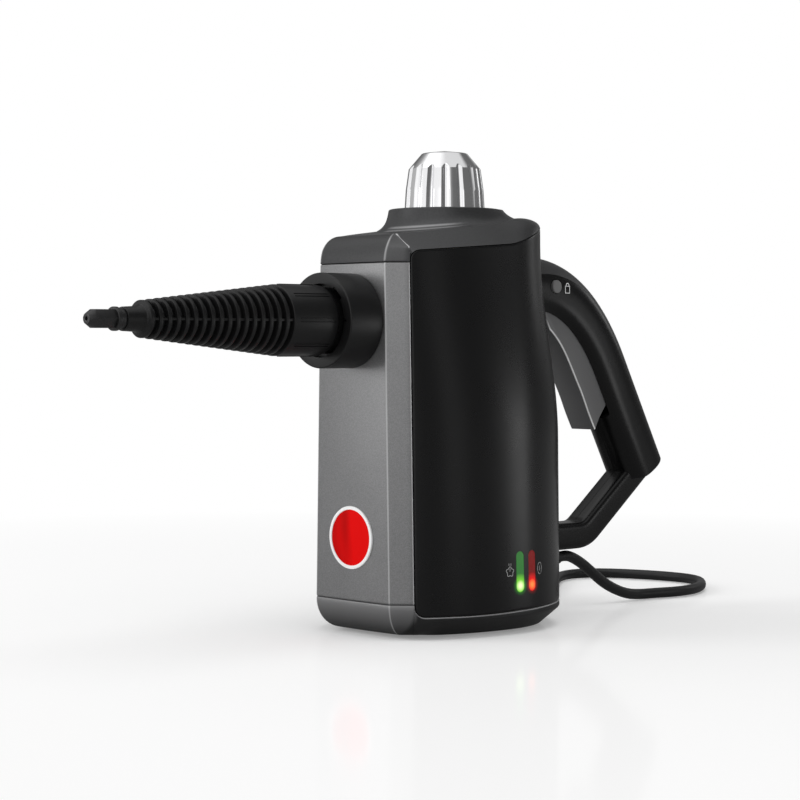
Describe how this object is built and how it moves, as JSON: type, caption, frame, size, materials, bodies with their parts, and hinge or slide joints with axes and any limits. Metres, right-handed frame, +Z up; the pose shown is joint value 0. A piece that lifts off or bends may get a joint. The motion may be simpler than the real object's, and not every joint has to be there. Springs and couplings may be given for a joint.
{
  "type": "handheld steam cleaner",
  "caption": "Handheld pressurised steamer: kettle-shaped boiler housing, ribbed jet nozzle, screw cap with relief valve, D-handle with trigger and lock, mains cord.",
  "frame": {"origin": "middle of the footprint of the appliance without its cord, on the floor it stands on", "axes": "+Z up, -Y along the nozzle toward the jet, +X toward the side that carries the two lamps"},
  "size_m": [0.2661, 0.5312, 0.278],
  "materials": {
    "cover_paint": "metallic mid-grey lacquer on plastic, fine flake, semi-gloss",
    "shell_black": "black plastic, semi-gloss",
    "trim_dark": "dark grey metallic lacquer, semi-gloss",
    "chrome_cap": "bright satin chrome plating on plastic",
    "black_matte": "black moulded plastic, satin",
    "trigger_grey": "grey moulded plastic, satin",
    "spine_grey": "dark grey moulded plastic, satin",
    "green_lamp": "translucent green lens, lit at its foot",
    "red_lamp": "translucent red lens, lit at its foot",
    "board": "green circuit board",
    "boiler_alu": "cast, bead blasted",
    "brass": "machined",
    "steel": "zinc plated",
    "spring_steel": "drawn spring wire",
    "seal_red": "silicone, heat resistant",
    "gasket": "graphite filled gasket",
    "foot_rubber": "black, matt",
    "ceramic": "glazed",
    "white_plastic": "natural nylon",
    "cord_black": "black flexible PVC, satin",
    "copper": "drawn copper tube",
    "badge_red": "red enamel, glossy",
    "lock_grey": "mid-grey moulded plastic, satin",
    "poppet": "orange heat-resistant plastic"
  },
  "bodies": {
    "housing": {"front_cover": "cover_paint", "top_shell": "trim_dark", "base_shell": "cover_paint", "right_shell": "shell_black", "left_shell": "shell_black", "feet": "foot_rubber", "housing_screws": "steel", "badge": "badge_red", "bezel": "black_matte", "green_lens": "green_lamp", "red_lens": "red_lamp", "lamp_board": "board", "handle_right": "black_matte", "handle_left": "black_matte", "handle_spine": "spine_grey", "handle_screws": "steel", "boiler_lower": "boiler_alu", "boiler_upper": "boiler_alu", "boiler_gasket": "gasket", "boiler_bolts": "steel", "filler_neck": "brass", "neck_seal": "gasket", "heating_element": "steel", "thermostat": "ceramic", "thermal_fuse": "ceramic", "boiler_bracket": "steel", "valve_body": "brass", "valve_spring": "spring_steel", "steam_tube": "copper", "tube_nuts": "brass", "outlet_spigot": "brass", "terminal_block": "white_plastic", "cord_clamp": "white_plastic", "trigger_pin": "steel", "trigger_spring": "spring_steel", "nozzle_seal": "seal_red", "strain_relief": "cord_black", "cord": "cord_black", "cord_coil": "cord_black", "cord_tail": "cord_black", "coil_tie": "black_matte", "plug_body": "cord_black", "plug_pins": "brass"},
    "cap_lift": {"cap_seal": "seal_red"},
    "cap": {"cap_knob": "chrome_cap", "cap_plug": "brass", "relief_spring": "spring_steel"},
    "relief": {"relief_poppet": "poppet"},
    "trigger": {"trigger": "trigger_grey"},
    "valve_stem": {"push_rod": "white_plastic", "valve_plunger": "steel"},
    "lock": {"lock_button": "lock_grey"},
    "nozzle": {"nozzle_cone": "black_matte", "nozzle_tube": "brass", "jet_tip": "black_matte"}
  },
  "joints": [
    {"name": "cap_unscrew", "type": "slide", "parent": "housing", "child": "cap_lift", "axis": [0, 0, 1], "range_m": [0, 0.012]},
    {"name": "cap_turn", "type": "hinge", "parent": "cap_lift", "child": "cap", "pos_m": [0, 0.03314, 0.24], "axis": [0, 0, 1], "range_deg": [0, 1440]},
    {"name": "relief_lift", "type": "slide", "parent": "cap", "child": "relief", "axis": [0, 0, 1], "range_m": [0, 0.0015], "stiffness_N_per_m": 900, "deforming": ["relief_spring"]},
    {"name": "trigger_pull", "type": "hinge", "parent": "housing", "child": "trigger", "pos_m": [0, 0.10914, 0.189], "axis": [1, 0, 0], "range_deg": [0, 7], "stiffness_Nm_per_rad": 4, "deforming": ["trigger_spring"]},
    {"name": "rod_push", "type": "slide", "parent": "housing", "child": "valve_stem", "axis": [0, -1, 0], "range_m": [0, 0.0015], "deforming": ["valve_spring"]},
    {"name": "lock_slide", "type": "slide", "parent": "housing", "child": "lock", "axis": [1, 0, 0], "range_m": [-0.0045, 0]},
    {"name": "nozzle_twist", "type": "hinge", "parent": "housing", "child": "nozzle", "pos_m": [0, -0.05686, 0.178], "axis": [0, 1, 0], "range_deg": [0, 45]}
  ],
  "couplings": [
    {"joint": "cap_turn", "follows": "cap_unscrew", "rad_per_m": 2094.4},
    {"joint": "rod_push", "follows": "trigger_pull", "m_per_rad": 0.012}
  ]
}
